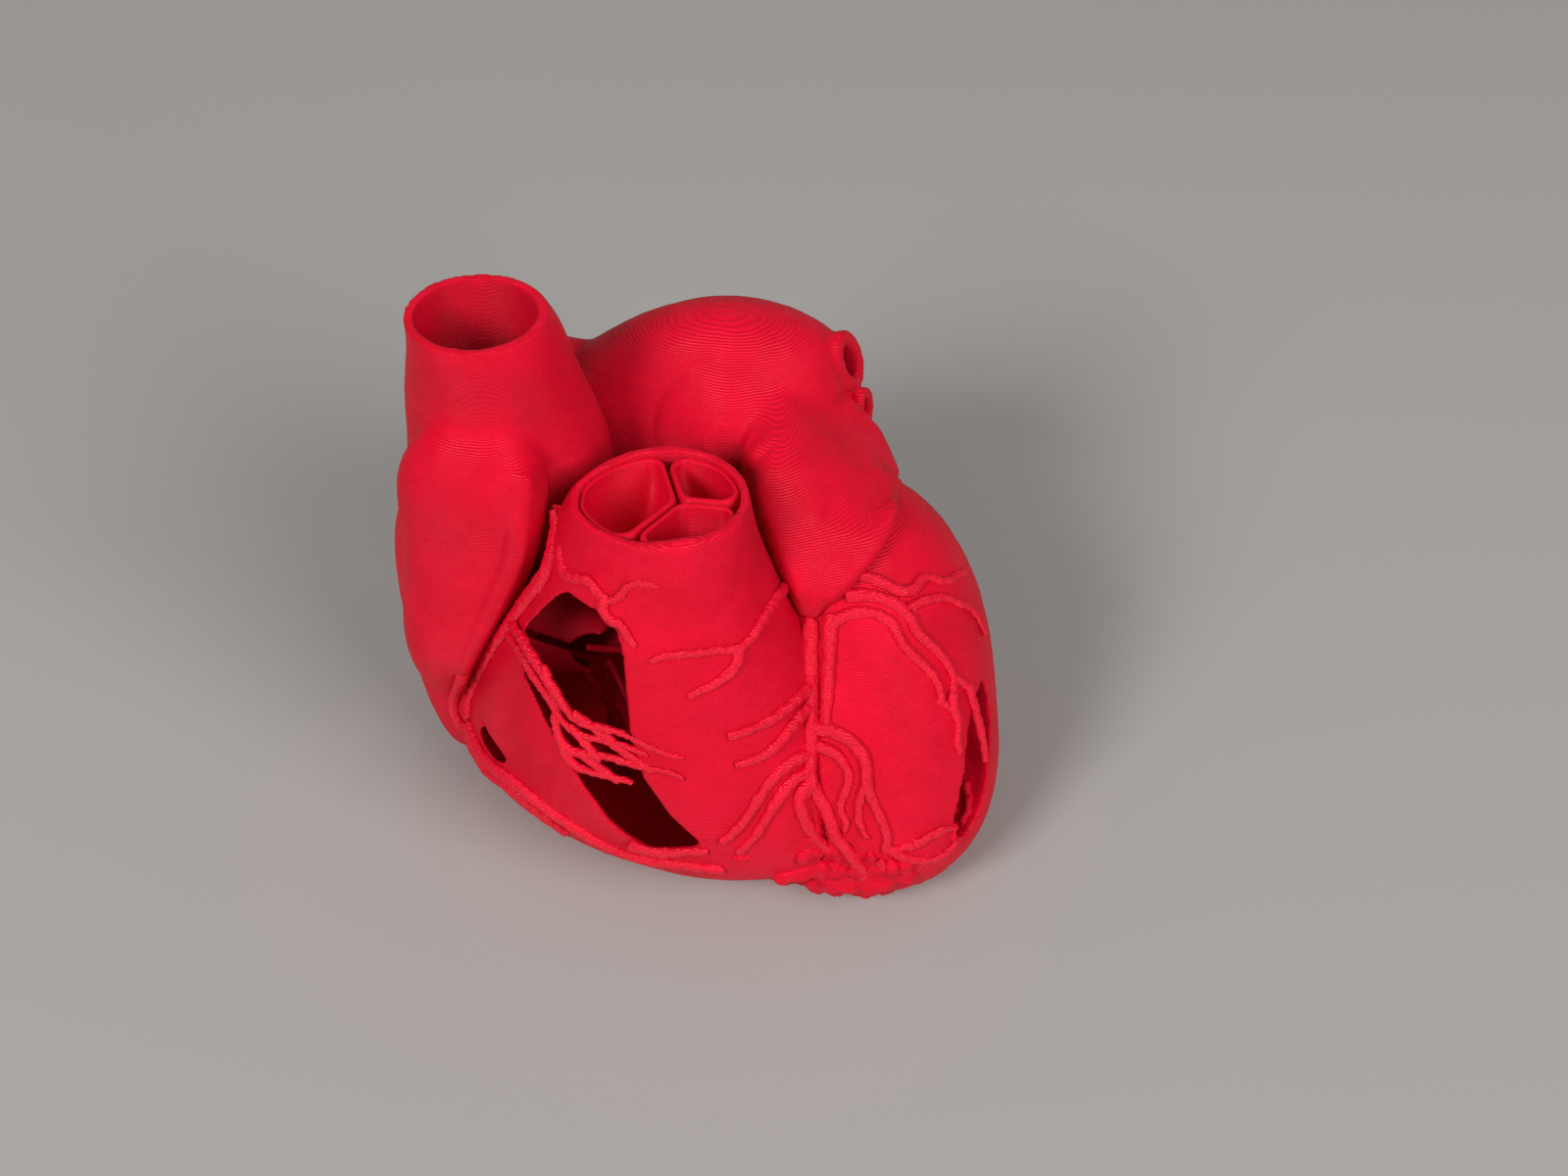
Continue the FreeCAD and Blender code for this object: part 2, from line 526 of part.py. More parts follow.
class Inlet:
    """A valve between an atrium and a ventricle: a ring in the wall with leaflets hanging from it."""

    def __init__(self, centre, axis, radius):
        self.centre = centre
        self.axis = axis.normalize()
        self.side = axis.cross(V(0, 0, 1)).normalize()
        self.rise = self.side.cross(self.axis)
        self.radius = radius

    def around(self, angle, radius, depth):
        turn = math.radians(angle)
        return (self.centre + self.axis * depth
                + (self.side * math.cos(turn) + self.rise * math.sin(turn)) * radius)

    def hole(self):
        start = self.centre - self.axis * RING_LENGTH * 2
        return Part.makeCylinder(self.radius, RING_LENGTH * 4, start, self.axis)

    def ring(self):
        start = self.centre - self.axis * RING_LENGTH / 2
        body = Part.makeCylinder(self.radius, RING_LENGTH, start, self.axis)
        return body.cut(Part.makeCylinder(self.radius - RING_WALL, RING_LENGTH, start, self.axis))

    def leaflet(self, start, end):
        """A tongue of a thin cone, rounded at the corners of its free edge."""
        top = self.centre + self.axis * RING_LENGTH / 2
        wide = self.radius - RING_WALL * 0.2
        outer = Part.makeCone(wide, LEAFLET_MOUTH_RADIUS, LEAFLET_DEPTH, top, self.axis)
        inner = Part.makeCone(wide - LEAFLET_SHEET, LEAFLET_MOUTH_RADIUS - LEAFLET_SHEET, LEAFLET_DEPTH,
                              top, self.axis)
        sheet = outer.cut(inner)
        edge = RING_LENGTH / 2 + LEAFLET_DEPTH
        for angle in (start, end):
            foot = self.around(angle, 0, 0)
            out = self.around(angle, self.radius, 0) - foot
            notch = Part.makeCylinder(self.radius * 0.32, self.radius, self.around(angle, 0, edge), out)
            split = Part.makeBox(self.radius, LEAFLET_GAP, 3 * LEAFLET_DEPTH)
            split.translate(V(0, -LEAFLET_GAP / 2, -LEAFLET_DEPTH))
            frame = FreeCAD.Rotation(out, self.axis.cross(out), self.axis, "ZXY")
            split.Placement = FreeCAD.Placement(foot, frame).multiply(split.Placement)
            sheet = carve(sheet, [notch, split])
        middle = self.around((start + end) / 2, self.radius, edge)
        return min(sheet.Solids, key=lambda solid: solid.CenterOfMass.distanceToPoint(middle))

    def leaflets(self, names, commissures):
        turns = commissures + [commissures[0] + 360]
        return {name: self.leaflet(turns[i], turns[i + 1]) for i, name in enumerate(names)}

    def edge(self, angle):
        """A point in the sheet near the free edge of a leaflet."""
        share = 0.9
        wide = self.radius - RING_WALL * 0.2 - LEAFLET_SHEET / 2
        narrow = LEAFLET_MOUTH_RADIUS - LEAFLET_SHEET / 2
        return self.around(angle, wide + (narrow - wide) * share, RING_LENGTH / 2 + LEAFLET_DEPTH * share)


def inside_pieces(name, inlet, leaflets, space, papillaries, radius, strings):
    """Papillary muscles that rise from the wall of a chamber, and the strings up to the leaflets."""
    pieces = {}
    cords = []
    tip_radius = radius * PAPILLARY_TIP_SHARE
    for muscle, (foot, tip) in papillaries.items():
        pieces[muscle] = largest(rod(V(*foot), V(*tip), radius, tip_radius).common(space))
    for muscle, angles in strings:
        tip = V(*papillaries[muscle][1])
        cords += [rod(tip, inlet.edge(angle), CHORDA_RADIUS) for angle in angles]
    pieces[name] = carve(fused(cords), list(pieces.values()) + leaflets)
    return pieces


def fused(shapes):
    """One shape out of several that cross."""
    return shapes[0].fuse(shapes[1:]) if len(shapes) > 1 else shapes[0]


# ------------------------------------------------------------------ auricles
def leaf(rim, crown, middle, join, depth):
    """A solid with flat facets: a crown of corners over a rim, and straight sides down to a base."""
    top = [V(*p) for p in rim]
    high = [V(*p) for p in crown]
    centre = V(*middle)
    down = V(0, 0, -depth)
    base = sum(top, V()) * (1 / len(top)) + down
    corners = []
    for i, point in enumerate(top):
        following = (i + 1) % len(top)
        after = top[following]
        corners.append([point, after, high[join[i]]])
        if join[following] != join[i]:
            corners.append([after, high[join[following]], high[join[i]]])
        corners.append([point, after, after + down])
        corners.append([point, after + down, point + down])
        corners.append([point + down, after + down, base])
    for i, point in enumerate(high):
        corners.append([point, high[(i + 1) % len(high)], centre])
    faces = [Part.Face(Part.makePolygon(c + [c[0]])) for c in corners]
    return Part.Solid(Part.Shell(faces))


# ------------------------------------------------------------------ the parts of the heart
right_form = form(RIGHT_VENTRICLE)
left_form = form(LEFT_VENTRICLE)
atrium_form = form(RIGHT_ATRIUM)
left_atrium_form = form(LEFT_ATRIUM, lying)
auricle_form = form(RIGHT_AURICLE)
aortic_form = form(AORTIC_ROOT)
right_lumen = lumen(RIGHT_VENTRICLE, RIGHT_VENTRICLE_WALL, open_end=True)
left_lumen = lumen(LEFT_VENTRICLE, LEFT_VENTRICLE_WALL)

pulmonary_rim, pulmonary_x, pulmonary_y = RIGHT_VENTRICLE[-1][:3]
aortic_rim, aortic_x, aortic_y = AORTIC_ROOT[-1][:3]
cava_rim, cava_x, cava_y = RIGHT_ATRIUM[-1][:3]

pulmonary_valve = Valve(pulmonary_x, pulmonary_y, pulmonary_rim, PULMONARY_BORE_RADIUS,
                        VALVE_MEETING_OFFSET, PULMONARY_COMMISSURES)
aortic_valve = Valve(aortic_x, aortic_y, aortic_rim, AORTIC_BORE_RADIUS, 0, AORTIC_COMMISSURES)


def inlet(aim, radius, wall_form):
    """An inlet valve where the line from atrium to ventricle meets the wall of the ventricle."""
    start, end = (V(*p) for p in aim)
    axis = (end - start).normalize()
    return Inlet(first_hit(start, axis, [wall_form]) + axis * RING_LENGTH / 2, axis, radius)


tricuspid = inlet(TRICUSPID_AIM, TRICUSPID_RADIUS, right_form)
mitral = inlet(MITRAL_AIM, MITRAL_RADIUS, left_form)
outflow = rod(V(*OUTFLOW_AIM[0]), V(*OUTFLOW_AIM[1]), OUTFLOW_RADIUS)
pieces = {}
pieces.update(chamber_walls())
pieces.update(right_atrium_pieces())
pieces.update(left_atrium_pieces())
pieces.update(roots())
pieces.update(pulmonary_valve.cusps(["right_pulmonary_cusp", "left_pulmonary_cusp", "front_pulmonary_cusp"]))
pieces["aortic_cusps"] = list(aortic_valve.cusps(["right", "left", "back"]).values())
pieces["tricuspid_ring"] = tricuspid.ring().common(right_form.fuse(atrium_form))
pieces["mitral_ring"] = mitral.ring().common(left_form.fuse(left_atrium_form)).cut(aortic_form)
right_leaflets = tricuspid.leaflets(["anterior_tricuspid_leaflet", "posterior_tricuspid_leaflet",
                                     "septal_tricuspid_leaflet"], TRICUSPID_COMMISSURES)
left_leaflets = mitral.leaflets(["anterior_mitral_leaflet", "posterior_mitral_leaflet"], MITRAL_COMMISSURES)
left_leaflets = {name: largest(sheet.cut(aortic_form)) for name, sheet in left_leaflets.items()}
pieces.update(right_leaflets)
pieces.update(left_leaflets)

right_space = carve(right_lumen, [left_form, tricuspid.hole()])
pieces.update(inside_pieces("tricuspid_chordae", tricuspid, list(right_leaflets.values()), right_space,
                            RIGHT_PAPILLARIES, RIGHT_PAPILLARY_RADIUS, RIGHT_STRINGS))
pieces.update(inside_pieces("mitral_chordae", mitral, list(left_leaflets.values()), left_lumen,
                            LEFT_PAPILLARIES, LEFT_PAPILLARY_RADIUS, LEFT_STRINGS))
band = rod(V(*MODERATOR_BAND[0]), V(*MODERATOR_BAND[1]), MODERATOR_BAND_RADIUS)
pieces["moderator_band"] = largest(band.common(right_space).cut(pieces["anterior_papillary_muscle"]))

surfaces = [right_form, left_form, atrium_form, left_atrium_form]
auricle = leaf(AURICLE_RIM, AURICLE_CROWN, AURICLE_MIDDLE, AURICLE_JOIN, AURICLE_DROP)
veins = [pieces[name] for name in PULMONARY_VEINS]
pieces["left_auricle"] = largest(carve(auricle, surfaces + veins + [aortic_form]))
pieces["right_auricle"] = largest(carve(auricle_form, surfaces))
surfaces.append(auricle_form)
fold = vessel(FRONT, FOLD_ROUTE, FOLD_RADIUS, surfaces)
pieces["right_auricle_fold"] = largest(carve(fold, 2 * surfaces))
surfaces += [pieces["left_auricle"], pieces["right_auricle_fold"]]


def near(shape, others):
    """Those of the other shapes whose boxes meet the shape's box."""
    return [other for other in others if shape.BoundBox.intersect(other.BoundBox)]


def lay(vessels, view, bed):
    """Lays vessels on the heart, each cut to sit face to face with its bed and with those before it."""
    for name, radius, route in vessels:
        branch = vessel(view, route, radius, surfaces[:5])
        # A tube that grazes its bed takes a second pass to come free of it.
        branch = carve(branch, 2 * near(branch, bed) + near(branch, laid))
        solids = [solid for solid in branch.Solids if solid.Volume > radius ** 3]
        laid.extend(solids)
        pieces.setdefault(name, []).extend(solids)


laid = []
lay(FRONT_VESSELS, FRONT, surfaces)
lay(BRIDGING_VESSELS, FRONT, [pieces["right_ventricle_wall"], pieces["left_ventricle_wall"],
                              auricle_form, atrium_form, pieces["right_auricle_fold"]])
lay(BACK_VESSELS, BACK, surfaces)

shapes = {name: Part.makeCompound(piece) if isinstance(piece, list) else piece
          for name, piece in pieces.items()}
box = Part.makeCompound(list(shapes.values())).optimalBoundingBox(False, False)
origin = V((box.XMin + box.XMax) / 2, (box.YMin + box.YMax) / 2, box.ZMin)
os.makedirs("parts", exist_ok=True)
for name, shape in shapes.items():
    shape.translate(origin * -1)
    shape.exportStep("parts/" + name + ".step")
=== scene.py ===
import bpy
import json
import math
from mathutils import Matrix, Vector
from mathutils.bvhtree import BVHTree

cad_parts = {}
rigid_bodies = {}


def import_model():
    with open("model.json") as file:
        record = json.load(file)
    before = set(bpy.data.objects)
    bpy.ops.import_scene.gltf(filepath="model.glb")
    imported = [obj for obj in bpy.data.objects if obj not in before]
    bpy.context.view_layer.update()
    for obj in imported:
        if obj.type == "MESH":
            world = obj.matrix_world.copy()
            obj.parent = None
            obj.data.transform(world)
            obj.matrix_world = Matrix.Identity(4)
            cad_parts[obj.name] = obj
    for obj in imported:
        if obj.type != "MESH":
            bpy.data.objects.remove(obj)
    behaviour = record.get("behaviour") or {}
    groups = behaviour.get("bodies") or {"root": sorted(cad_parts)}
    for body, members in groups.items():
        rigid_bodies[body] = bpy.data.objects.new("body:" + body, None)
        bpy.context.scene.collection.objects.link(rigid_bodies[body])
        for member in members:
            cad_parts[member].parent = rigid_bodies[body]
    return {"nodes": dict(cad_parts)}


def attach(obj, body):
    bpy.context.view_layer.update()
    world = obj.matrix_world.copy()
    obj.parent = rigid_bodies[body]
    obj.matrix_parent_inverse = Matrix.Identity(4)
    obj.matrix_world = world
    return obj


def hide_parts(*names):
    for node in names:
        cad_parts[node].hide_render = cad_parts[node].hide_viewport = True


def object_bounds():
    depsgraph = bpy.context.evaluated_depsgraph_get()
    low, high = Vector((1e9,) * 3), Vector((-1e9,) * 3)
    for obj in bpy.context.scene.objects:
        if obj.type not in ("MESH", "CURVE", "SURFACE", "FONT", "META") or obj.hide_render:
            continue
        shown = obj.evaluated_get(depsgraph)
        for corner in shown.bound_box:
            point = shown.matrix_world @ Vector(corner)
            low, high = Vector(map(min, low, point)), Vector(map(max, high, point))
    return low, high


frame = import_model()
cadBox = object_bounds()
nodes = frame["nodes"]
for leftover in [o for o in bpy.data.objects if o.name in ("Cube", "Light", "Camera")]:
    bpy.data.objects.remove(leftover)
bpy.context.scene.view_settings.view_transform = "Standard"
print("frame:", len(nodes), "nodes")


# small helpers
def deselect():
    active = bpy.context.view_layer.objects.active
    if active and active.mode != "OBJECT":
        bpy.ops.object.mode_set(mode="OBJECT")
    bpy.ops.object.select_all(action="DESELECT")


def choose(piece):
    deselect()
    piece.select_set(True)
    bpy.context.view_layer.objects.active = piece


def applyModifiers(piece):
    choose(piece)
    for modifier in list(piece.modifiers):
        bpy.ops.object.modifier_apply(modifier=modifier.name)


def copyOf(name, wanted):
    # one new object with the meshes of the wanted nodes, their doubles merged
    deselect()
    for node in wanted:
        twin = bpy.data.objects.new(name, nodes[node].data.copy())
        bpy.context.scene.collection.objects.link(twin)
        twin.select_set(True)
        bpy.context.view_layer.objects.active = twin
    if len(wanted) > 1:
        bpy.ops.object.join()
    piece = bpy.context.view_layer.objects.active
    piece.name = name
    bpy.ops.object.mode_set(mode="EDIT")
    bpy.ops.mesh.select_all(action="SELECT")
    bpy.ops.mesh.remove_doubles(threshold=1e-7)
    bpy.ops.object.mode_set(mode="OBJECT")
    return piece


def remesh(piece, size):
    modifier = piece.modifiers.new("voxels", "REMESH")
    modifier.mode = "VOXEL"
    modifier.voxel_size = size
    applyModifiers(piece)


def soften(piece, steps, group=""):
    modifier = piece.modifiers.new("soften", "SMOOTH")
    modifier.factor = 0.5
    modifier.iterations = steps
    modifier.vertex_group = group
    applyModifiers(piece)


def lumps(piece, width, height, depth=2, middle=0.5, group="", contrast=1):
    # an uneven surface: cloud noise of a given width and height
    cloud = bpy.data.textures.new(piece.name + "_lumps", "CLOUDS")
    cloud.noise_scale = width
    cloud.noise_depth = depth
    cloud.contrast = contrast
    modifier = piece.modifiers.new("lumps", "DISPLACE")
    modifier.texture = cloud
    modifier.texture_coords = "LOCAL"
    modifier.strength = height
    modifier.mid_level = middle
    modifier.vertex_group = group
    applyModifiers(piece)


def weigh(piece, rule):
    # a vertex group whose weights follow the place of each point
    group = piece.vertex_groups.new(name="region")
    for vertex in piece.data.vertices:
        share = rule(vertex.co)
        if share > 0:
            group.add([vertex.index], min(share, 1), "REPLACE")
    return group.name


def ramp(value, start, end):
    return min(max((value - start) / (end - start), 0), 1)


def shift(piece, axis, amount, group=""):
    modifier = piece.modifiers.new("shift", "DISPLACE")
    modifier.direction = axis
    modifier.mid_level = 0
    modifier.strength = amount
    modifier.vertex_group = group
    applyModifiers(piece)


def touchUp(piece, settings):
    # one local change, full in the middle and gone at its reach
    centre = Vector(settings["at"])
    reach = settings["reach"]
    group = weigh(piece, lambda co: ramp((co - centre).length, reach, reach * settings.get("full", 0.3)))
    for axis, amount in zip("XYZ", settings.get("move", ())):
        if amount:
            shift(piece, axis, amount, group)
    if "swell" in settings:
        shift(piece, "NORMAL", settings["swell"], group)
    if "steps" in settings:
        soften(piece, settings["steps"], group)
    piece.vertex_groups.clear()


def guideOf(*wanted):
    # the surface of some nodes, to measure from
    other = copyOf("guide", wanted)
    tree = BVHTree.FromObject(other, bpy.context.evaluated_depsgraph_get())
    bpy.data.objects.remove(other)
    return tree


def closeSeam(piece, neighbours, reach, swell):
    # the edge beside a neighbour swells a little, so that no dark crack stays between the two
    tree = guideOf(*neighbours)

    def nearness(co):
        found = tree.find_nearest(co, reach)
        return ramp(found[3], reach, 0) if found[0] else 0
    group = weigh(piece, nearness)
    shift(piece, "NORMAL", swell, group)
    piece.vertex_groups.clear()


def joinTo(piece, *others):
    choose(piece)
    for other in others:
        other.select_set(True)
    bpy.ops.object.join()


def finishPiece(piece, material, *replaced):
    # the skin keeps within the sizes of the part, flat where it stands
    low, high = cadBox
    for vertex in piece.data.vertices:
        vertex.co = [min(max(c, a), b) for c, a, b in zip(vertex.co, low, high)]
    choose(piece)
    piece.data.materials.clear()
    piece.data.materials.append(material)
    bpy.ops.object.shade_smooth()
    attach(piece, "root")
    if replaced:
        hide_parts(*replaced)


# the print's plastic: colours, then sizes in metres, then how many noise cells lie in a metre
plasticSettings = {
    # the first two colours are random tone; the third is the paler pink of painted sheen on the layers and
    # the grain tops
    "lit": (0.80, 0.0014, 0.025), "deep": (0.66, 0.0010, 0.017), "paintedSheenColour": (0.93, 0.007, 0.048),
    "toneSteps": (0.3, 0.7), "noiseRange": (0.35, 0.65), "ringSheenRange": (0.1, 1.3), "roughRange": 0.1,
    "specular": 0.16, "layer": 0.00024, "layerDepth": 0.00005, "waver": 0.00005,
    "grain": 0.00035, "grainDepth": 0.00012, "patchCells": 130, "waverCells": 300, "ringSheenCells": 70,
}


def printPlastic(name, settings):
    material = bpy.data.materials.new(name)
    material.use_nodes = True
    tree = material.node_tree
    shader = tree.nodes["Principled BSDF"]
    shader.inputs["Specular IOR Level"].default_value = settings.get("specular", plasticSettings["specular"])

    def node(kind, **values):
        made = tree.nodes.new(kind)
        for key, value in values.items():
            setattr(made, key, value)
        return made

    def link(start, end):
        tree.links.new(start, end)

    def noise(cells, detail):
        made = node("ShaderNodeTexNoise")
        made.inputs["Scale"].default_value = cells
        made.inputs["Detail"].default_value = detail
        link(place.outputs["Object"], made.inputs["Vector"])
        return made

    def spread(source, low, high):
        made = node("ShaderNodeMapRange")
        for socket, value in zip(("From Min", "From Max"), plasticSettings["noiseRange"]):
            made.inputs[socket].default_value = value
        made.inputs["To Min"].default_value = low
        made.inputs["To Max"].default_value = high
        link(source, made.inputs["Value"])
        return made.outputs[0]

    def shade(colour):
        return [c * settings["bright"] for c in plasticSettings[colour]] + [1]

    place = node("ShaderNodeTexCoord")
    split = node("ShaderNodeSeparateXYZ")
    link(place.outputs["Object"], split.inputs[0])
    patch = noise(plasticSettings["patchCells"], 4)
    grain = noise(1 / plasticSettings["grain"], 3)
    waver = noise(plasticSettings["waverCells"], 1)
    # layers: a wave up the height that wavers a little
    drift = spread(waver.outputs["Fac"], -plasticSettings["waver"], plasticSettings["waver"])
    height = node("ShaderNodeMath", operation="ADD")
    link(split.outputs["Z"], height.inputs[0])
    link(drift, height.inputs[1])
    turns = node("ShaderNodeMath", operation="MULTIPLY")
    turns.inputs[1].default_value = 2 * math.pi / plasticSettings["layer"]
    link(height.outputs[0], turns.inputs[0])
    wave = node("ShaderNodeMath", operation="SINE")
    link(turns.outputs[0], wave.inputs[0])
    layerBump = node("ShaderNodeBump")
    layerBump.inputs["Strength"].default_value = settings["layers"]
    layerBump.inputs["Distance"].default_value = plasticSettings["layerDepth"]
    link(wave.outputs[0], layerBump.inputs["Height"])
    grainBump = node("ShaderNodeBump")
    grainBump.inputs["Strength"].default_value = settings["grain"]
    grainBump.inputs["Distance"].default_value = plasticSettings["grainDepth"]
    link(grain.outputs["Fac"], grainBump.inputs["Height"])
    link(layerBump.outputs[0], grainBump.inputs["Normal"])
    link(grainBump.outputs[0], shader.inputs["Normal"])
    # colour: broad patches of random tone, then painted sheen: a paler pink along each printed layer and on
    # the tops of the grain, standing in for glints of light on them
    tone = node("ShaderNodeValToRGB")
    for element, step, colour in zip(tone.color_ramp.elements, plasticSettings["toneSteps"], ("deep", "lit")):
        element.position = step
        element.color = shade(colour)
    link(patch.outputs["Fac"], tone.inputs[0])
    # painted sheen: how much of the paler pink each point gets, along each layer and on the grain tops
    paintedSheenMask = node("ShaderNodeMath", operation="MULTIPLY_ADD")
    rings = noise(plasticSettings["ringSheenCells"], 1)
    link(spread(rings.outputs["Fac"], *[r * settings["rings"] for r in plasticSettings["ringSheenRange"]]),
         paintedSheenMask.inputs[1])
    link(wave.outputs[0], paintedSheenMask.inputs[0])
    # painted glint: the tops of the grain get more of the paler pink, in place of sparkles of light
    link(spread(grain.outputs["Fac"], 0, settings["paintedGlint"]), paintedSheenMask.inputs[2])
    blend = node("ShaderNodeMix", data_type="RGBA")
    blend.clamp_factor = True
    link(paintedSheenMask.outputs[0], blend.inputs[0])  # factor
    link(tone.outputs[0], blend.inputs[6])  # A
    # the paler pink of painted sheen
    blend.inputs[7].default_value = shade("paintedSheenColour")  # B
    link(blend.outputs[2], shader.inputs["Base Color"])
    link(spread(grain.outputs["Fac"], settings["rough"] + plasticSettings["roughRange"],
                settings["rough"] - plasticSettings["roughRange"]), shader.inputs["Roughness"])
    return material


# the fourth and fifth settings give how strongly painted sheen and painted glint pale the layers and the
# grain tops
skinPlastic = printPlastic("skinPlastic", {"rough": 0.46, "grain": 0.55, "layers": 1, "rings": 0.4,
                                           "paintedGlint": 0.15, "bright": 1})
stringPlastic = printPlastic("stringPlastic", {"rough": 0.42, "grain": 1, "layers": 0.8, "rings": 0.3,
                                               "paintedGlint": 0.4, "bright": 1, "specular": 0.3})
thinPlastic = printPlastic("thinPlastic", {"rough": 0.42, "grain": 0.3, "layers": 0.6, "rings": 0.2,
                                           "paintedGlint": 0.2, "bright": 1})
# the same red plastic made darker for the pieces inside the heart: painted shade of its hollows
shadedInsidePlastic = printPlastic("shadedInsidePlastic", {"rough": 0.6, "grain": 0.6, "layers": 0.4, "rings": 0.2,
                                               "paintedGlint": 0.2, "bright": 0.68})
print("plastics ready")

# places on the walls, given as (across, up) in millimetres as seen from the front at the view's tilt
view = {"target": (0.01416, -0.0014, 0.0344), "tilt": 40, "distance": 0.42, "focal": 2633, "imageWidth": 1600,
        "sensor": 36, "clip": (0.01, 10), "sightFrom": 0.2, "floorRise": 0.0016}
tilt = math.radians(view["tilt"])
towards = Vector((0, -math.cos(tilt), math.sin(tilt)))
upwards = Vector((0, math.sin(tilt), math.cos(tilt)))
walls = guideOf("left_ventricle_wall", "right_ventricle_wall", "left_auricle")


def onWall(across, up, lift=0, guide=walls):
    # where the line of sight meets the walls, or else the floor
    start = Vector((across / 1000, 0, 0)) + upwards * (up / 1000) + towards * view["sightFrom"]
    hit = guide.ray_cast(start, -towards)[0]
    if hit is None:
        hit = start - towards * (start.z / towards.z)
        hit.z = view["floorRise"]
    return hit + towards * lift


# the left auricle, a broad leaf whose lower side lies on the ventricle
leafSettings = {
    "voxel": 0.00045, "steps": 60, "thick": 0.0030, "middle": (26, 33), "cuts": 3,
    "rimLift": 0.0014, "rootLift": -0.0016,
    "rim": [(33.3, 42.6), (32.4, 38.8), (31.6, 35.2), (30.4, 32.4), (29.1, 30.4), (27.2, 28.2), (24.5, 25.3),
            (21.8, 23.2)],
    "root": [(19.8, 23.5), (19, 27), (20, 33), (23, 40), (28, 45)],
}


def layLeaf(settings):
    leaf = copyOf("leafForm", ["left_auricle"])
    remesh(leaf, settings["voxel"])
    soften(leaf, settings["steps"])
    deselect()
    places = [onWall(*place, settings["rimLift"]) for place in settings["rim"]]
    places += [onWall(*place, settings["rootLift"]) for place in settings["root"]]
    bpy.ops.mesh.primitive_circle_add(vertices=len(places), radius=1, fill_type="TRIFAN")
    apron = bpy.context.object
    middle = onWall(*settings["middle"], settings["rimLift"])
    for vertex in apron.data.vertices:  # the circle's centre goes to the middle, its edge to the rim and root
        vertex.co = middle if vertex.co.length < 0.5 else places.pop(0)
    bpy.ops.object.mode_set(mode="EDIT")
    bpy.ops.mesh.select_all(action="SELECT")
    bpy.ops.mesh.normals_make_consistent(inside=False)
    bpy.ops.mesh.subdivide(number_cuts=settings["cuts"])
    bpy.ops.object.mode_set(mode="OBJECT")
    sheet = apron.modifiers.new("sheet", "SOLIDIFY")
    sheet.thickness = settings["thick"]
    sheet.offset = 0
    applyModifiers(apron)
    joinTo(leaf, apron)
    return leaf


# the smooth skins of the chambers: nodes, voxel, soften steps, lump width and height, local touches
skins = {
    "rightVentricleSkin": {
        "nodes": ["right_ventricle_wall", "pulmonary_root"],
        "voxel": 0.00048, "soften": 2, "lump": (0.006, 0.0003),
        "seam": {"neighbours": ["left_ventricle_wall"], "reach": 0.0016, "swell": 0.00035},
        "touches": [
            # the pulmonary ring is a rounded triangle with a corner to the left
            {"at": (-0.0175, -0.014, 0.0625), "reach": 0.012, "move": (-0.0018, -0.0003, 0), "full": 0.3},
            # shoulder in front of the ring
            {"at": (-0.001, -0.026, 0.0585), "reach": 0.009, "swell": 0.0012},
            {"at": (0.007, -0.022, 0.0585), "reach": 0.007, "swell": 0.0008},
            # rough foot
            {"at": (0.004, -0.036, 0.004), "reach": 0.012, "swell": 0.0003}]},
    "leftVentricleSkin": {
        "nodes": ["left_ventricle_wall"],
        "voxel": 0.00042, "soften": 3, "lump": (0.006, 0.0003),
        "seam": {"neighbours": ["right_ventricle_wall"], "reach": 0.0016, "swell": 0.00035},
        "apex": {"lump": (0.0024, 0.0022), "depth": 3, "middle": 0.45, "contrast": 3,
                 "at": (0.020, -0.026, 0.004), "reach": 0.022, "foot": (0.0015, 0.004)}},
    "rightAtriumSkin": {
        "nodes": ["right_atrium", "superior_vena_cava", "right_auricle", "right_auricle_fold"],
        "voxel": 0.00042, "soften": 3, "lump": (0.006, 0.0002),
        "touches": [
            {"at": (-0.0330, -0.008, 0.066), "reach": 0.012, "steps": 260, "full": 0.5},
            {"at": (-0.0240, -0.011, 0.062), "reach": 0.009, "steps": 160, "full": 0.5},
            {"at": (-0.0380, -0.008, 0.045), "reach": 0.026, "steps": 26, "full": 0.8}]},
    "leftAtriumSkin": {
        "nodes": ["left_atrium", "left_superior_pulmonary_vein", "left_inferior_pulmonary_vein",
                  "right_superior_pulmonary_vein", "right_inferior_pulmonary_vein"],
        "voxel": 0.00045, "soften": 8, "lump": (0.006, 0.0003), "leaf": True,
        # closes the low side of the atrium beside the mitral ring
        "plug": {"radius": 0.0068, "location": (0.0158, 0.0250, 0.0440), "subdivisions": 4},
        "touches": [
            # the base of the auricle comes forward behind the pulmonary ring
            {"at": (0.0045, 0.0110, 0.056), "reach": 0.012, "move": (0, -0.005, 0.001)},
            {"at": (0.0245, -0.010, 0.049), "reach": 0.010, "steps": 70, "full": 0.4},
            {"at": (0.0310, 0.005, 0.050), "reach": 0.009, "steps": 70, "full": 0.4},
            {"at": (0.0120, 0.0150, 0.061), "reach": 0.011, "steps": 120, "full": 0.5},
            {"at": (0.0250, 0.0270, 0.060), "reach": 0.006, "swell": 0.0006, "full": 0.5},
            {"at": (-0.0190, 0.0310, 0.060), "reach": 0.011, "steps": 90, "full": 0.5}]},
}
